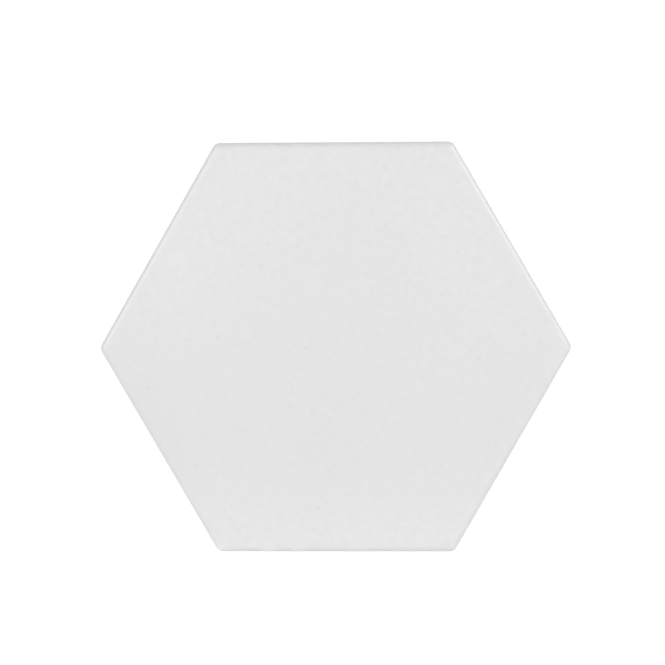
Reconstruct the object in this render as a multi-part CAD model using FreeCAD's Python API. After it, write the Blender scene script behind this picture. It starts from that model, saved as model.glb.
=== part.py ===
import FreeCAD, Part
import math
import os

# A hexagonal floor tile: one piece of dry-pressed porcelain with a satin white glaze on its face.
#
# The tile lies on its back with the glazed face up. The origin is the middle of the back, +Z is up,
# two of the six corners point along +X and -X, and two of the six sides face +Y and -Y.
#
# Its section is the same all the way round: the flat face rolls over into an upright wall, the wall
# draws in towards the back so that the body leaves its die, and a small chamfer guards the foot.
# The back is keyed for the adhesive by a honeycomb of shallow cells inside a plain border.

# The tile as it is sold and laid, in millimetres as all the sizes here.
WIDTH_ACROSS_FLATS = 175.0
THICKNESS = 9.0

# The rolled edge of the face, and the radius that the flat of the face keeps at each corner.
ROLL_RUN = 2.8
ROLL_DROP = 1.5
FACE_CORNER_RADIUS = 0.4

# The wall below the roll: an upright band, then the draft, then the chamfer at the foot.
UPRIGHT_BAND = 2.5
DRAFT_INSET = 0.9
FOOT_CHAMFER = 0.6

# The keyed back: a honeycomb of cells, the ribs between them, and at least this wide a border.
CELL_PITCH = 14.0
RIB_WIDTH = 2.4
KEY_DEPTH = 0.8
KEY_DRAFT_DEGREES = 30.0
BORDER_WIDTH = 6.0

# What follows from those sizes and from the six sides.
SIDES = 6
TURN = 360.0 / SIDES
FLAT_TO_CORNER = 1 / math.cos(math.radians(TURN / 2))
CORNER_RADIUS = FACE_CORNER_RADIUS + ROLL_RUN
CORE_INRADIUS = WIDTH_ACROSS_FLATS / 2 - CORNER_RADIUS
BACK_INRADIUS = WIDTH_ACROSS_FLATS / 2 - DRAFT_INSET - FOOT_CHAMFER
ROLL_FOOT = THICKNESS - ROLL_DROP
DRAFT_TOP = ROLL_FOOT - UPRIGHT_BAND
CELL_MOUTH = CELL_PITCH - RIB_WIDTH
CELL_FLOOR = CELL_MOUTH - 2 * KEY_DEPTH * math.tan(math.radians(KEY_DRAFT_DEGREES))

UP = FreeCAD.Vector(0, 0, 1)
TILE_AXIS = FreeCAD.Vector(0, 0, 0)


def polar(distance, degrees, height=0.0):
    """A point at a distance from the tile's axis, in the direction of an angle."""
    angle = math.radians(degrees)
    return FreeCAD.Vector(distance * math.cos(angle), distance * math.sin(angle), height)


def hexagon(across_flats, first_corner, height=0.0):
    """The corners of a hexagon about the tile's axis, with the first one repeated to close it."""
    reach = across_flats / 2 * FLAT_TO_CORNER
    return [polar(reach, first_corner + i * TURN, height) for i in range(SIDES + 1)]


# The core is the hexagon between the centres of the six rounded corners.
CORNER_CENTRE = polar(CORE_INRADIUS * FLAT_TO_CORNER, 0)
NEXT_CORNER_CENTRE = polar(CORE_INRADIUS * FLAT_TO_CORNER, TURN)


def roll_arc(centre, outwards):
    """The quarter of an ellipse by which the face rolls over into the wall."""
    ends = [centre + outwards * ROLL_RUN, centre + UP * ROLL_DROP]
    if ROLL_DROP > ROLL_RUN:
        ends.reverse()
    return Part.Ellipse(*ends, centre).toShape(0, math.pi / 2)


def rim_section(degrees):
    """The tile's section from a corner's centre out to the wall, upright in the direction of an angle."""
    outwards = polar(1, degrees)

    def at(reach, height):
        return CORNER_CENTRE + outwards * reach + UP * height

    straights = [
        at(FACE_CORNER_RADIUS, THICKNESS),
        at(0, THICKNESS),
        at(0, 0),
        at(CORNER_RADIUS - DRAFT_INSET - FOOT_CHAMFER, 0),
        at(CORNER_RADIUS - DRAFT_INSET, FOOT_CHAMFER),
        at(CORNER_RADIUS, DRAFT_TOP),
        at(CORNER_RADIUS, ROLL_FOOT),
    ]
    edges = [Part.LineSegment(a, b).toShape() for a, b in zip(straights, straights[1:])]
    edges.append(roll_arc(at(FACE_CORNER_RADIUS, ROLL_FOOT), outwards))
    return Part.Face(Part.Wire(edges))


def rim_side():
    """One straight length of the rim: the section drawn from one corner's centre to the next."""
    return rim_section(TURN / 2).extrude(NEXT_CORNER_CENTRE - CORNER_CENTRE)


def rim_corner():
    """One rounded corner of the rim: the section turned about the corner's centre."""
    return rim_section(-TURN / 2).revolve(CORNER_CENTRE, UP, TURN)


def all_round(shape):
    """Copies of a shape in the six directions of the tile."""
    copies = [shape.copy() for _ in range(SIDES)]
    for i, copy in enumerate(copies):
        copy.rotate(TILE_AXIS, UP, i * TURN)
    return copies


def pressed_body():
    """The tile as pressed and glazed, before its back is keyed."""
    core = Part.Face(Part.makePolygon(hexagon(2 * CORE_INRADIUS, 0))).extrude(UP * THICKNESS)
    return core.fuse(all_round(rim_side()) + all_round(rim_corner())).removeSplitter()


def key_cell():
    """The space of the middle cell: a shallow frustum, widest at its mouth in the back."""
    mouth = hexagon(CELL_MOUTH, TURN / 2)
    floor = hexagon(CELL_FLOOR, TURN / 2, KEY_DEPTH)
    outlines = [mouth, floor]
    outlines += [[mouth[i], mouth[i + 1], floor[i + 1], floor[i], mouth[i]] for i in range(SIDES)]
    shell = Part.makeShell([Part.Face(Part.makePolygon(outline)) for outline in outlines])
    shell.sewShape()
    return Part.makeSolid(shell)


def key_cells():
    """Every cell of the back, in as many rings about the middle one as the border leaves room for."""
    row_spacing = CELL_PITCH / FLAT_TO_CORNER
    rings = int((BACK_INRADIUS - BORDER_WIDTH - CELL_MOUTH / 2 * FLAT_TO_CORNER) / row_spacing)
    along = polar(CELL_PITCH, 0)
    across = polar(CELL_PITCH, TURN)
    steps = range(-rings, rings + 1)
    places = [along * i + across * j for i in steps for j in steps if abs(i + j) <= rings]
    cell = key_cell()
    return Part.makeCompound([cell.translated(place) for place in places])


os.makedirs("parts", exist_ok=True)
hexagon_tile = pressed_body().cut(key_cells())
hexagon_tile.exportStep("parts/hexagon_tile.step")
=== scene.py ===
import math

import bmesh
import bpy
from mathutils import Matrix, Vector, noise


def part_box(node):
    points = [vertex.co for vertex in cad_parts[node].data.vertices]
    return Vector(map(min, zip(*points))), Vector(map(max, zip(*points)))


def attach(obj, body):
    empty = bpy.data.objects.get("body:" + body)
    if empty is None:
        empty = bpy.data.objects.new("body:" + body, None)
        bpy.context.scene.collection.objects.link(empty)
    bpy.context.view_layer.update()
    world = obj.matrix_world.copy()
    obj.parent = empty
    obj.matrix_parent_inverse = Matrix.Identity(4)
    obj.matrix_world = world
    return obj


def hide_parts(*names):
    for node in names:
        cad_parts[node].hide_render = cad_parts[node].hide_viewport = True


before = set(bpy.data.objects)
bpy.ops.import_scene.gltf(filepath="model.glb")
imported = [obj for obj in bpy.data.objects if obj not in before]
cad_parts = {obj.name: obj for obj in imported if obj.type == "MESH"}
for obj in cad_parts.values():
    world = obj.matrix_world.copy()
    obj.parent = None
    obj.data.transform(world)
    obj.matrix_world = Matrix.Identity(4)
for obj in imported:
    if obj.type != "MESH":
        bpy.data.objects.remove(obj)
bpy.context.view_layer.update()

# The tile
# A floor tile of porcelain, dry-pressed in a steel die from one spray-dried powder, glazed on its face
# and fired once. The glaze rolls over the edge, runs a little way down the wall and ends there in an
# uneven line. The wall below that line and the keyed back are the bare fired body.

# Blender measures in metres, so each size in millimetres is written with this.
MM = 0.001
TILE = "hexagon_tile"
SIDES = 6
TURN = math.radians(360 / SIDES)
FLAT_TO_CORNER = 1 / math.cos(TURN / 2)

tile_low, tile_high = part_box(TILE)
TILE_INRADIUS = (tile_high.y - tile_low.y) / 2
TILE_THICKNESS = tile_high.z
FACE_MIDDLE = Vector((0, 0, TILE_THICKNESS))

# The wall: an upright band, the draft that lets it out of the die, and a rounded foot.
ROLL_DROP = 1.5 * MM
UPRIGHT_BAND = 2.5 * MM
DRAFT_INSET = 0.9 * MM
FOOT_RADIUS = 0.6 * MM
FOOT_STEPS = 3
WALL_TOP = TILE_THICKNESS - ROLL_DROP
DRAFT_TOP = WALL_TOP - UPRIGHT_BAND

# Each corner, by its heading in degrees, has the radius that the glaze has left it.
CORNER_RADII = {
    0: 3.2 * MM,
    60: 3.0 * MM,
    120: 2.9 * MM,
    180: 3.3 * MM,
    240: 4.2 * MM,
    300: 3.0 * MM,
}
CORNER_SEGMENTS = 8
SIDE_SEGMENTS = 80


def heading(degrees):
    """The level direction at an angle from +X."""
    return Vector((math.cos(math.radians(degrees)), math.sin(math.radians(degrees)), 0))


tile = bmesh.new()
bmesh.ops.create_circle(
    tile,
    cap_ends=True,
    segments=SIDES,
    radius=TILE_INRADIUS * FLAT_TO_CORNER,
    matrix=Matrix.Translation((0, 0, DRAFT_TOP)) @ Matrix.Rotation(TURN / 2, 4, "Z"),
)
for degrees, radius in CORNER_RADII.items():
    corner = max(tile.verts, key=lambda vert: vert.co.dot(heading(degrees)))
    bmesh.ops.bevel(
        tile,
        geom=[corner],
        offset=radius * math.tan(TURN / 2),
        offset_type="OFFSET",
        segments=CORNER_SEGMENTS,
        profile=0.5,
        affect="VERTICES",
        material=-1,
    )

# The six straight sides, which are far longer than the short edges round the corners.
straight_sides = [edge for edge in tile.edges if edge.calc_length() > TILE_INRADIUS / 2]
bmesh.ops.subdivide_edges(tile, edges=straight_sides, cuts=SIDE_SEGMENTS - 1)

# The upright band, between the outline and a copy of it.
(foot,) = tile.faces
raised = bmesh.ops.extrude_face_region(tile, geom=[foot])
face = next(part for part in raised["geom"] if isinstance(part, bmesh.types.BMFace))
bmesh.ops.translate(tile, verts=face.verts, vec=(0, 0, UPRIGHT_BAND))
bmesh.ops.recalc_face_normals(tile, faces=tile.faces)


def step_in(flat, run, rise):
    """Draws a flat face in by a run and out along its normal by a rise, with a strip of wall round it."""
    bmesh.ops.inset_region(
        tile,
        faces=[flat],
        thickness=run,
        depth=rise,
        use_even_offset=True,
        use_boundary=True,
    )


def quarter_round(flat, run, rise, steps):
    """Draws a flat face in along a quarter of an ellipse that starts upright and ends level."""
    for i in range(steps):
        start = math.pi / 2 * i / steps
        end = math.pi / 2 * (i + 1) / steps
        step_in(flat, run * (math.cos(start) - math.cos(end)), rise * (math.sin(end) - math.sin(start)))


# The glazed roll above the band, and the draft and the foot below it.
ROLL_RUN = 2.8 * MM
ROLL_STEPS = 12
DRAFT_STEPS = 4
quarter_round(face, ROLL_RUN, ROLL_DROP, ROLL_STEPS)
for _ in range(DRAFT_STEPS):
    step_in(foot, DRAFT_INSET / DRAFT_STEPS, (DRAFT_TOP - FOOT_RADIUS) / DRAFT_STEPS)
quarter_round(foot, FOOT_RADIUS, FOOT_RADIUS, FOOT_STEPS)


def fill_between(outer_face, inner_edges):
    """Replaces a flat face by triangles between its edges and the edges of what lies inside it."""
    edges = list(outer_face.edges)
    normal = outer_face.normal.copy()
    bmesh.ops.delete(tile, geom=[outer_face], context="FACES_ONLY")
    bmesh.ops.triangle_fill(
        tile,
        edges=edges + inner_edges,
        normal=normal,
        use_beauty=True,
        use_dissolve=False,
    )


# The flat of the face: a lattice of triangles, fine enough to carry the glaze's gentle unevenness.
LATTICE_MARGIN = 0.6 * MM
lattice = bmesh.ops.create_circle(
    tile,
    cap_ends=True,
    cap_tris=True,
    segments=SIDES,
    radius=(TILE_INRADIUS - ROLL_RUN - LATTICE_MARGIN) * FLAT_TO_CORNER,
    matrix=Matrix.Translation(FACE_MIDDLE) @ Matrix.Rotation(TURN / 2, 4, "Z"),
)
lattice_edges = list({edge for vert in lattice["verts"] for edge in vert.link_edges})
bmesh.ops.subdivide_edges(tile, edges=lattice_edges, cuts=SIDE_SEGMENTS - 1, use_grid_fill=True)
fill_between(face, [edge for edge in tile.edges if edge.is_boundary])

# The keyed back: a honeycomb of drafted cells with softened rims, and ribs between them.
CELL_PITCH = 14.0 * MM
RIB_WIDTH = 2.4 * MM
KEY_DEPTH = 0.8 * MM
KEY_DRAFT = math.radians(30)
CELL_RINGS = 6
RIM_RADIUS = 0.3 * MM
RIM_SEGMENTS = 2

# Points that lie closer than this are one point.
WELD = 0.01 * MM

honeycomb = []
for i in range(-CELL_RINGS, CELL_RINGS + 1):
    for j in range(-CELL_RINGS, CELL_RINGS + 1):
        if abs(i + j) > CELL_RINGS:
            continue
        place = Vector((i + j * math.cos(TURN), j * math.sin(TURN), 0)) * CELL_PITCH
        ring = bmesh.ops.create_circle(
            tile,
            cap_ends=True,
            segments=SIDES,
            radius=CELL_PITCH / 2 * FLAT_TO_CORNER,
            matrix=Matrix.Translation(place),
        )
        honeycomb += ring["verts"][0].link_faces
bmesh.ops.remove_doubles(tile, verts=[vert for cell in honeycomb for vert in cell.verts], dist=WELD)
bmesh.ops.reverse_faces(tile, faces=[cell for cell in honeycomb if cell.normal.z > 0])
fill_between(foot, [edge for edge in tile.edges if edge.is_boundary])
bmesh.ops.inset_individual(tile, faces=honeycomb, thickness=RIB_WIDTH / 2, use_even_offset=True)
rims = [edge for cell in honeycomb for edge in cell.edges]
bmesh.ops.inset_individual(
    tile,
    faces=honeycomb,
    thickness=KEY_DEPTH * math.tan(KEY_DRAFT),
    depth=-KEY_DEPTH,
    use_even_offset=True,
)
rims += [edge for cell in honeycomb for edge in cell.edges]
bmesh.ops.bevel(
    tile,
    geom=rims,
    offset=RIM_RADIUS,
    offset_type="OFFSET",
    segments=RIM_SEGMENTS,
    profile=0.5,
    affect="EDGES",
    material=-1,
)

# What pressing and firing have done to the face. It falls away towards the edge, first in a broad faint
# crown and then in a short shoulder, with a depth of its own at each side, by the side's heading. Where
# two sides meet, their falls blend.
SHOULDER_WIDTH = 3.0 * MM
SHOULDER_POWER = 1.65
SHOULDER_DEPTHS = {
    30: 0.74 * MM,
    90: 0.41 * MM,
    150: 0.1 * MM,
    210: 0.1 * MM,
    270: 0.54 * MM,
    330: 0.75 * MM,
}
CROWN_WIDTH = 9.5 * MM
CROWN_DEPTH = 0.25 * MM
CROWN_POWER = 2
MITRE_BLEND = 3

# Towards one corner the shoulder falls a little deeper.
LOW_CORNER = heading(120) * TILE_INRADIUS * FLAT_TO_CORNER
LOW_CORNER_REACH = 60 * MM
LOW_CORNER_DEPTH = 0.15 * MM
LOW_CORNER_POWER = 2

# The face lies a few hundredths of a millimetre higher and lower in long swells, and the roll in ripples.
SWELL_HEIGHT = 0.05 * MM
SWELL_SPACING = 38 * MM
RIPPLE_HEIGHT = 0.06 * MM
RIPPLE_SPACING = 15 * MM
RIPPLE_WIDTH = 3.6 * MM

# Beads of glaze on the side at -Y, which fill out the roll so that the flat reaches almost to the edge.
# Each has its place along the side, its reach, and the share of the drop that it fills. At the very edge
# it fills only part of that share, and all of it from the width of its own small roll inwards.
BEADS = (
    (-49.0 * MM, 5.0 * MM, 0.6),
    (-28.5 * MM, 2.7 * MM, 0.75),
    (-16.3 * MM, 2.4 * MM, 0.62),
    (7.6 * MM, 3.2 * MM, 0.4),
)
BEAD_ROLL = 0.4 * MM
BEAD_EDGE_PART = 0.4


def nearness(point, middle, reach):
    """A share that is 1 at the middle and fades as a bell does, to about a third at its reach."""
    return math.exp(-(((point - middle).length / reach) ** 2))


def unevenness(point, spacing):
    """A share between 0 and 1 that wanders smoothly, with about a spacing from one height to the next."""
    return (1 + noise.noise(point / spacing)) / 2


for vert in tile.verts:
    if vert.co.z < WALL_TOP - WELD:
        continue
    level = vert.co.xy.to_3d()
    insets = {degrees: TILE_INRADIUS - level.dot(heading(degrees)) for degrees in SHOULDER_DEPTHS}
    falls = [
        depth * max(0.0, 1 - insets[degrees] / SHOULDER_WIDTH) ** SHOULDER_POWER
        + CROWN_DEPTH * max(0.0, 1 - insets[degrees] / CROWN_WIDTH) ** CROWN_POWER
        for degrees, depth in SHOULDER_DEPTHS.items()
    ]
    fall = sum(fall**MITRE_BLEND for fall in falls) ** (1 / MITRE_BLEND)
    inset = max(0.0, min(insets.values()))
    at_edge = max(0.0, 1 - inset / SHOULDER_WIDTH)
    fall += LOW_CORNER_DEPTH * at_edge**LOW_CORNER_POWER * nearness(level, LOW_CORNER, LOW_CORNER_REACH)
    fall += SWELL_HEIGHT * unevenness(level, SWELL_SPACING)
    on_roll = math.sin(math.pi * min(1.0, inset / RIPPLE_WIDTH))
    fall += RIPPLE_HEIGHT * on_roll * unevenness(level, RIPPLE_SPACING)
    drop = TILE_THICKNESS - vert.co.z + fall
    part = BEAD_EDGE_PART + (1 - BEAD_EDGE_PART) * min(1.0, inset / BEAD_ROLL)
    for along, reach, share in BEADS:
        drop *= 1 - share * part * nearness(level, Vector((along, -TILE_INRADIUS, 0)), reach)
    vert.co.z = TILE_THICKNESS - drop

bmesh.ops.recalc_face_normals(tile, faces=tile.faces)

# The finished mesh is smooth but for its creases, and its normals follow its large flat faces.
CREASE = math.radians(35)
tile_mesh = bpy.data.meshes.new(TILE)
tile.to_mesh(tile_mesh)
tile.free()
tile_mesh.shade_smooth()
tile_mesh.set_sharp_from_angle(angle=CREASE)
tile_piece = bpy.data.objects.new("glazed_tile", tile_mesh)
bpy.context.scene.collection.objects.link(tile_piece)
flatten = tile_piece.modifiers.new("flat_ribs", "WEIGHTED_NORMAL")
flatten.keep_sharp = True


def linear(hex_colour):
    """The linear colour that a shader takes, from an sRGB hex value."""
    shares = [int(hex_colour[i : i + 2], 16) / 255 for i in (1, 3, 5)]
    levels = [share / 12.92 if share <= 0.04045 else ((share + 0.055) / 1.055) ** 2.4 for share in shares]
    return (*levels, 1.0)


def add_node(tree, kind, inputs=(), **settings):
    """Adds a node with its settings. Its inputs, by name or in order, take values, sockets or nodes."""
    node = tree.nodes.new(kind)
    for name, value in settings.items():
        setattr(node, name, value)
    in_use = [socket for socket in node.inputs if socket.enabled]
    given = inputs.items() if isinstance(inputs, dict) else enumerate(inputs)
    for key, value in given:
        socket = in_use[key] if isinstance(key, int) else node.inputs[key]
        if isinstance(value, bpy.types.Node):
            value = next(output for output in value.outputs if output.enabled)
        if isinstance(value, bpy.types.NodeSocket):
            tree.links.new(value, socket)
        else:
            socket.default_value = value
    return node


# The finish: a satin white glaze over bare porcelain. The glaze is an opaque white whose surface sets
# with a fine grain, so lamps show in it only as broad soft patches. It has a faint orange peel, small grey
# specks over tiny pits, clouds where it lies thicker, and painted light and shade across its face, whiter
# towards some sides. The body is a warm pale clay, dry and sandy.
finish = bpy.data.materials.new("satin_glaze_on_porcelain")
finish.use_nodes = True
tree = finish.node_tree
tree.nodes.clear()
place = add_node(tree, "ShaderNodeTexCoord").outputs["Object"]
height = add_node(tree, "ShaderNodeSeparateXYZ", [place]).outputs["Z"]

# The fine patterns are turned, because a noise shows its own square grid on a level plane.
PATTERN_TURN = (0.6, 0.5, 0.4)
off_grid = add_node(tree, "ShaderNodeMapping", {"Vector": place, "Rotation": PATTERN_TURN})

# Noise seldom leaves this range, so a share that is made from it starts and ends there.
NOISE_LOW = 0.3
NOISE_HIGH = 0.7

# Where the glaze ends on the wall, above the back: a wavering line, with small tongues along it.
GLAZE_END = 5.4 * MM
WAVER_HEIGHT = 2.6 * MM
WAVER_SPACING = 16 * MM
TONGUE_HEIGHT = 1.0 * MM
TONGUE_SPACING = 2.5 * MM
GLAZE_EDGE = 0.12 * MM

# The line without what the two noises, which average a half, add to it.
NO_WAVER = GLAZE_END - (WAVER_HEIGHT + TONGUE_HEIGHT) / 2
waver = add_node(tree, "ShaderNodeTexNoise", {"Vector": place, "Scale": 1 / WAVER_SPACING})
tongues = add_node(tree, "ShaderNodeTexNoise", {"Vector": place, "Scale": 1 / TONGUE_SPACING})
less_waver = add_node(tree, "ShaderNodeMath", [waver, -WAVER_HEIGHT, height], operation="MULTIPLY_ADD")
above_line = add_node(
    tree,
    "ShaderNodeMath",
    [tongues, -TONGUE_HEIGHT, less_waver],
    operation="MULTIPLY_ADD",
)
glazed = add_node(
    tree,
    "ShaderNodeMapRange",
    [above_line, NO_WAVER - GLAZE_EDGE, NO_WAVER + GLAZE_EDGE],
    interpolation_type="SMOOTHSTEP",
)

# How thick the glaze lies, as a share of its range, with painted light and shade added to it: faint clouds
# of thicker glaze everywhere, painted light that whitens the face towards some of the sides, and painted
# shade by one corner. Each painted place has a heading, where along it the painted light starts and where
# it ends, as distances from the middle, and how much that adds.
PAINTED_LIGHT_PLACES = (
    (135, 32 * MM, 77 * MM, 0.2),
    (48, 40 * MM, 69 * MM, 0.14),
    (271, 42 * MM, 93 * MM, 0.47),
    (89, -49 * MM, 56 * MM, 0.22),
    (350, 8 * MM, 46 * MM, 0.1),
    (12, -94 * MM, -60 * MM, 0.29),
)
CLOUD_SPACING = 40 * MM
CLOUD_SHARE = 0.1
cloud_noise = add_node(tree, "ShaderNodeTexNoise", {"Vector": place, "Scale": 1 / CLOUD_SPACING})
clouds = add_node(tree, "ShaderNodeMapRange", [cloud_noise, NOISE_LOW, NOISE_HIGH, 0.0, CLOUD_SHARE])
thickness = clouds
# Each place adds painted light to the share, so the face is whiter towards its side; the share keeps the
# name thickness, but it holds painted light and shade as well as clouds of glaze.
for degrees, start, end, share in PAINTED_LIGHT_PLACES:
    reach = add_node(tree, "ShaderNodeVectorMath", [place, heading(degrees)], operation="DOT_PRODUCT")
    painted_light_patch = add_node(
        tree,
        "ShaderNodeMapRange",
        [reach, start, end, 0.0, share],
        interpolation_type="SMOOTHSTEP",
    )
    thickness = add_node(tree, "ShaderNodeMath", [thickness, painted_light_patch])

# The glaze's colour: whiter where it lies thick and where light is painted on, with a soft mottle of small
# thin patches.
THIN_GLAZE = "#E2E2E2"
THICK_AND_LIT_GLAZE = "#ECECEC"
MOTTLE_SPACING = 3.0 * MM
MOTTLE_DETAIL = 5.0
MOTTLE_SHARE = 0.55
mottle_noise = add_node(
    tree, "ShaderNodeTexNoise", {"Vector": off_grid, "Scale": 1 / MOTTLE_SPACING, "Detail": MOTTLE_DETAIL}
)
mottle = add_node(tree, "ShaderNodeMapRange", [mottle_noise, NOISE_LOW, NOISE_HIGH, 0.0, MOTTLE_SHARE])

# Two faint strokes near one corner, where a sleeve or a cloth has wiped the glaze before it was fired. Each
# has its place from the middle of the face, its turn in degrees, and half its width, length and height.
WIPES = (
    (Vector((-82.2, 16.5, 0)) * MM, 8, Vector((0.9, 17.0, 9.0)) * MM),
    (Vector((-76.5, 3.6, 0)) * MM, -6, Vector((1.9, 26.0, 9.0)) * MM),
)
WIPE_SHARE = 0.35
for middle, degrees, halves in WIPES:
    stroke = add_node(
        tree,
        "ShaderNodeMapping",
        {
            "Vector": place,
            "Location": FACE_MIDDLE + middle,
            "Rotation": (0, 0, math.radians(degrees)),
            "Scale": halves,
        },
        vector_type="TEXTURE",
    )
    off_stroke = add_node(tree, "ShaderNodeVectorMath", [stroke], operation="LENGTH").outputs["Value"]
    wiped = add_node(
        tree,
        "ShaderNodeMapRange",
        [off_stroke, 0.0, 1.0, WIPE_SHARE, 0.0],
        interpolation_type="SMOOTHSTEP",
    )
    mottle = add_node(tree, "ShaderNodeMath", [mottle, wiped])

# Grey specks of many strengths, fainter where the glaze lies thick and where light is painted on. Each is
# one cell of a
# Voronoi pattern, made uneven by the mottle.
SPECK = "#B4B4B2"
SPECK_SPACING = 3.0 * MM
SPECK_RADIUS = 1.15 * MM
SPECK_WARP = 2.6 * MM
SPECK_FALLOFF = 2.2
SPECK_SHARE = 0.25
SPECKS_IN_THICK_AND_LIT_GLAZE = 0.6
warped = add_node(
    tree,
    "ShaderNodeVectorMath",
    [mottle_noise.outputs["Color"], (SPECK_WARP, SPECK_WARP, SPECK_WARP), off_grid],
    operation="MULTIPLY_ADD",
)
cells = add_node(tree, "ShaderNodeTexVoronoi", {"Vector": warped, "Scale": 1 / SPECK_SPACING}).outputs
spots = add_node(
    tree,
    "ShaderNodeMapRange",
    [cells["Distance"], 0.0, SPECK_RADIUS / SPECK_SPACING, 1.0, 0.0],
    interpolation_type="SMOOTHSTEP",
)
strengths = add_node(tree, "ShaderNodeMath", [cells["Color"], SPECK_FALLOFF], operation="POWER")
thin_and_unlit_places = add_node(tree, "ShaderNodeMapRange", [thickness, 0.0, 1.0, 1.0, SPECKS_IN_THICK_AND_LIT_GLAZE])
strong_spots = add_node(tree, "ShaderNodeMath", [spots, strengths], operation="MULTIPLY")
specks = add_node(tree, "ShaderNodeMath", [strong_spots, thin_and_unlit_places], operation="MULTIPLY")

# The few pinholes that gas has left in the glaze, larger and darker than the specks. Each has its place
# from the middle of the face, its radius and its strength, and the first one lies down on the roll.
PINHOLES = (
    (Vector((-19.2, 86.3, -0.8)) * MM, 0.65 * MM, 1.5),
    (Vector((-79.9, -16.8, 0)) * MM, 0.9 * MM, 1.0),
    (Vector((-9.9, -26.8, 0)) * MM, 0.9 * MM, 1.0),
    (Vector((-47.7, 81.0, 0)) * MM, 0.9 * MM, 1.0),
    (Vector((-7.2, -68.2, 0)) * MM, 0.9 * MM, 0.9),
)
for middle, radius, strength in PINHOLES:
    away = add_node(tree, "ShaderNodeVectorMath", [place, FACE_MIDDLE + middle], operation="DISTANCE")
    pinhole = add_node(
        tree,
        "ShaderNodeMapRange",
        [away.outputs["Value"], 0.0, radius, strength, 0.0],
        interpolation_type="SMOOTHSTEP",
    )
    specks = add_node(tree, "ShaderNodeMath", [specks, pinhole], operation="MAXIMUM")

# Cloud, painted light and shade, mottle and specks together.
speck_share = add_node(tree, "ShaderNodeMath", [specks, SPECK_SHARE], operation="MULTIPLY")
clouded_and_lit = add_node(
    tree,
    "ShaderNodeMix",
    [thickness, linear(THIN_GLAZE), linear(THICK_AND_LIT_GLAZE)],
    data_type="RGBA",
)
mottled = add_node(tree, "ShaderNodeMix", [mottle, clouded_and_lit, linear(THIN_GLAZE)], data_type="RGBA")
glaze_colour = add_node(tree, "ShaderNodeMix", [speck_share, mottled, linear(SPECK)], data_type="RGBA")

# The body's colour: fired clay with a sandy grain, and the kiln wash that the rollers rub on its ribs in
# long streaks. The real grain is near a tenth of a millimetre and too fine to show, so it is drawn coarser.
DARK_CLAY = "#CFC8BA"
LIGHT_CLAY = "#D9D3C7"
SAND = "#C2BAAB"
KILN_WASH = "#ECE9E2"
SAND_SPACING = 0.45 * MM
SAND_DETAIL = 3.0
BATCH_SPACING = 9 * MM
WASH_WIDTH = 3 * MM
WASH_LENGTH = 36 * MM
WASH_LOW = 0.4
WASH_HIGH = 0.6
WASH_SHARE = 0.75
WASH_REACH = 0.25 * MM
batch_noise = add_node(tree, "ShaderNodeTexNoise", {"Vector": off_grid, "Scale": 1 / BATCH_SPACING})
batch = add_node(tree, "ShaderNodeMapRange", [batch_noise, NOISE_LOW, NOISE_HIGH])
sand_noise = add_node(
    tree, "ShaderNodeTexNoise", {"Vector": off_grid, "Scale": 1 / SAND_SPACING, "Detail": SAND_DETAIL}
)
sand = add_node(tree, "ShaderNodeMapRange", [sand_noise, NOISE_LOW, NOISE_HIGH])
streaks = add_node(
    tree, "ShaderNodeMapping", {"Vector": place, "Scale": (1 / WASH_WIDTH, 1 / WASH_LENGTH, 1 / WASH_WIDTH)}
)
wash_noise = add_node(tree, "ShaderNodeTexNoise", {"Vector": streaks, "Scale": 1.0})
wash = add_node(tree, "ShaderNodeMapRange", [wash_noise, WASH_LOW, WASH_HIGH, 0.0, WASH_SHARE])
on_ribs = add_node(tree, "ShaderNodeMapRange", [height, 0.0, WASH_REACH, 1.0, 0.0])
rubbed = add_node(tree, "ShaderNodeMath", [wash, on_ribs], operation="MULTIPLY")
clay = add_node(tree, "ShaderNodeMix", [batch, linear(DARK_CLAY), linear(LIGHT_CLAY)], data_type="RGBA")
sandy = add_node(tree, "ShaderNodeMix", [sand, clay, linear(SAND)], data_type="RGBA")
body_colour = add_node(tree, "ShaderNodeMix", [rubbed, sandy, linear(KILN_WASH)], data_type="RGBA")

# The relief, in millimetres: orange peel and tiny pits in the glaze, sand on the body, and the step where
# the glaze ends.
PEEL_SPACING = 2.4 * MM
PEEL_HEIGHT = 0.012
SPECK_DEPTH = 0.02
SAND_HEIGHT = 0.03
GLAZE_THICKNESS = 0.15
peel_noise = add_node(tree, "ShaderNodeTexNoise", {"Vector": place, "Scale": 1 / PEEL_SPACING})
peel = add_node(
    tree, "ShaderNodeMath", [peel_noise, PEEL_HEIGHT, GLAZE_THICKNESS], operation="MULTIPLY_ADD"
)
pitted = add_node(tree, "ShaderNodeMath", [specks, -SPECK_DEPTH, peel], operation="MULTIPLY_ADD")
sand_relief = add_node(tree, "ShaderNodeMath", [sand, SAND_HEIGHT], operation="MULTIPLY")
relief = add_node(tree, "ShaderNodeMix", [glazed, sand_relief, pitted], data_type="FLOAT")
bump = add_node(tree, "ShaderNodeBump", {"Height": relief, "Distance": MM})

# The gloss: satin on the glaze, a shade sharper where it lies thick, and dry on the body.
THIN_GLAZE_ROUGHNESS = 0.38
THICK_GLAZE_ROUGHNESS = 0.34
BODY_ROUGHNESS = 0.85
GLAZE_IOR = 1.5
glaze_roughness = add_node(
    tree, "ShaderNodeMapRange", [clouds, 0.0, CLOUD_SHARE, THIN_GLAZE_ROUGHNESS, THICK_GLAZE_ROUGHNESS]
)
roughness = add_node(tree, "ShaderNodeMix", [glazed, BODY_ROUGHNESS, glaze_roughness], data_type="FLOAT")
colour = add_node(tree, "ShaderNodeMix", [glazed, body_colour, glaze_colour], data_type="RGBA")
shader = add_node(
    tree,
    "ShaderNodeBsdfPrincipled",
    {"Base Color": colour, "Roughness": roughness, "IOR": GLAZE_IOR, "Normal": bump},
)
add_node(tree, "ShaderNodeOutputMaterial", {"Surface": shader})
tile_mesh.materials.append(finish)

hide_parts(TILE)
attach(tile_piece, "root")

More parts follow.
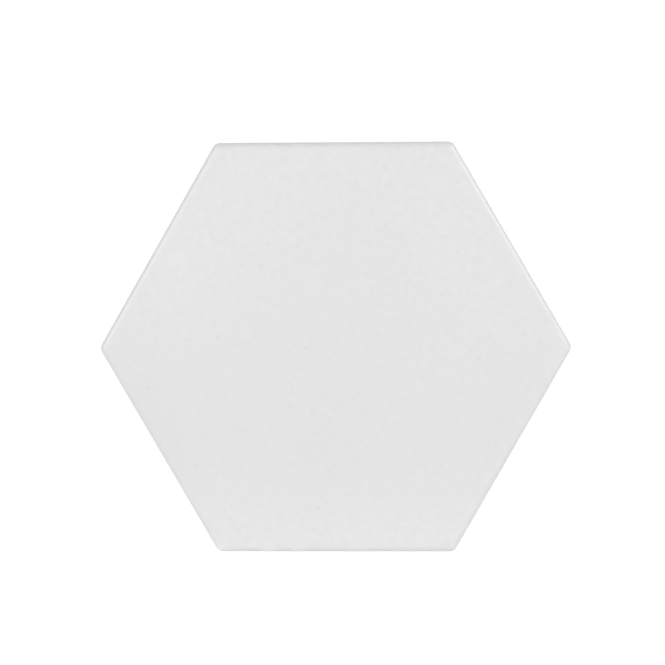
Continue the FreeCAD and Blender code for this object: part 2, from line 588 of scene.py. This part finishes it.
# The floor
# A sheet of studio paper that the tile lies on. It looks white, as the photograph's ground does, but it
# throws back only part of the lamps' light, so that the tile's edge keeps its thin dark line.
FLOOR_REACH = 6.0
FLOOR_GAP = 0.05 * MM

floor = bmesh.new()
bmesh.ops.create_grid(
    floor, x_segments=1, y_segments=1, size=FLOOR_REACH, matrix=Matrix.Translation((0, 0, -FLOOR_GAP))
)
floor_mesh = bpy.data.meshes.new("floor")
floor.to_mesh(floor_mesh)
floor.free()
floor_piece = bpy.data.objects.new("floor", floor_mesh)
bpy.context.scene.collection.objects.link(floor_piece)


def light_seen(tree):
    """A share that is 1 for the rays that show: to the eye, in a reflection and through glass."""
    ray = add_node(tree, "ShaderNodeLightPath").outputs
    direct = add_node(
        tree,
        "ShaderNodeMath",
        [ray["Is Camera Ray"], ray["Is Glossy Ray"]],
        operation="MAXIMUM",
    )
    return add_node(tree, "ShaderNodeMath", [direct, ray["Is Transmission Ray"]], operation="MAXIMUM")


# Uncoated studio paper, quite dull. It glows only where it is seen and sheds no light of its own. Near the
# tile the lamps light it too, so there it glows a little less and keeps the tile's shadow.
PAPER = "#A0A0A0"
WHITE = "#FFFFFF"
PAPER_ROUGHNESS = 1.0
FADE_START = 0.15
FADE_END = 1.0
NEAR_GLOW = 0.8
paper = bpy.data.materials.new("studio_paper")
paper.use_nodes = True
tree = paper.node_tree
tree.nodes.clear()
place = add_node(tree, "ShaderNodeTexCoord").outputs["Object"]
distance = add_node(tree, "ShaderNodeVectorMath", [place], operation="LENGTH").outputs["Value"]
whiteness = add_node(tree, "ShaderNodeMapRange", [distance, FADE_START, FADE_END, NEAR_GLOW, 1.0])
glow = add_node(tree, "ShaderNodeMath", [whiteness, light_seen(tree)], operation="MULTIPLY")
shader = add_node(
    tree,
    "ShaderNodeBsdfPrincipled",
    {
        "Base Color": linear(PAPER),
        "Roughness": PAPER_ROUGHNESS,
        "Emission Color": linear(WHITE),
        "Emission Strength": glow,
    },
)
add_node(tree, "ShaderNodeOutputMaterial", {"Surface": shader})
floor_mesh.materials.append(paper)

# The studio
# Four round softboxes and the pale room behind them. The left one, high and large, and the right one put
# the soft bright line on the tile's upper left and upper right edges. The other two light the near sides.
LAMP_DISTANCE = 2.5

# Each has its heading and its angle from straight up, in degrees, its power in watts and its width.
LAMPS = {
    "left_softbox": (162.8, 42.4, 21.6, 1.36),
    "right_softbox": (31.9, 68.0, 16.0, 0.56),
    "front_softbox": (233.0, 52.3, 15.1, 0.57),
    "side_softbox": (348.0, 66.9, 16.2, 0.34),
}
for name, (degrees, zenith, power, width) in LAMPS.items():
    lamp = bpy.data.lights.new(name, "AREA")
    lamp.shape = "DISK"
    lamp.size = width
    lamp.energy = power
    light = bpy.data.objects.new(name, lamp)
    tilt = math.radians(zenith)
    towards = heading(degrees) * math.sin(tilt) + Vector((0, 0, math.cos(tilt)))
    light.location = towards * LAMP_DISTANCE
    light.rotation_euler = towards.to_track_quat("Z", "Y").to_euler()
    bpy.context.scene.collection.objects.link(light)

# The room: plain light for the tile, and white where it is seen.
ROOM_LIGHT = 0.387
SEEN_LIGHT = 1.0
room = bpy.data.worlds.new("studio_room")
room.use_nodes = True
tree = room.node_tree
tree.nodes.clear()
strength = add_node(tree, "ShaderNodeMapRange", [light_seen(tree), 0.0, 1.0, ROOM_LIGHT, SEEN_LIGHT])
background = add_node(tree, "ShaderNodeBackground", {"Color": linear(WHITE), "Strength": strength})
add_node(tree, "ShaderNodeOutputWorld", {"Surface": background})
bpy.context.scene.world = room
bpy.context.scene.view_settings.view_transform = "Standard"

# The camera
# It looks almost straight down at the tile, from a little to its upper right, as the photograph does, with
# a long lens on a sensor of 36 mm. The lens is set so that the tile fills as much of the frame.
CAMERA_DISTANCE = 1.4
CAMERA_LEAN = math.radians(4.851)
CAMERA_HEADING = 42.83
CAMERA_ROLL = math.radians(-0.371)
CAMERA_AIM = FACE_MIDDLE + Vector((-0.826, 6.552, 0)) * MM
CAMERA_LENS = 177.815
CAMERA_SENSOR = 36

camera_data = bpy.data.cameras.new("camera")
camera_data.lens = CAMERA_LENS
camera_data.sensor_width = CAMERA_SENSOR
camera = bpy.data.objects.new("camera", camera_data)
back = heading(CAMERA_HEADING) * math.sin(CAMERA_LEAN) + Vector((0, 0, math.cos(CAMERA_LEAN)))
right = Vector((0, 1, 0)).cross(back).normalized()
turned = Matrix((right, back.cross(right), back)).transposed().to_4x4()
stand = Matrix.Translation(CAMERA_AIM + back * CAMERA_DISTANCE)
camera.matrix_world = stand @ turned @ Matrix.Rotation(CAMERA_ROLL, 4, "Z")
bpy.context.scene.collection.objects.link(camera)
bpy.context.scene.camera = camera
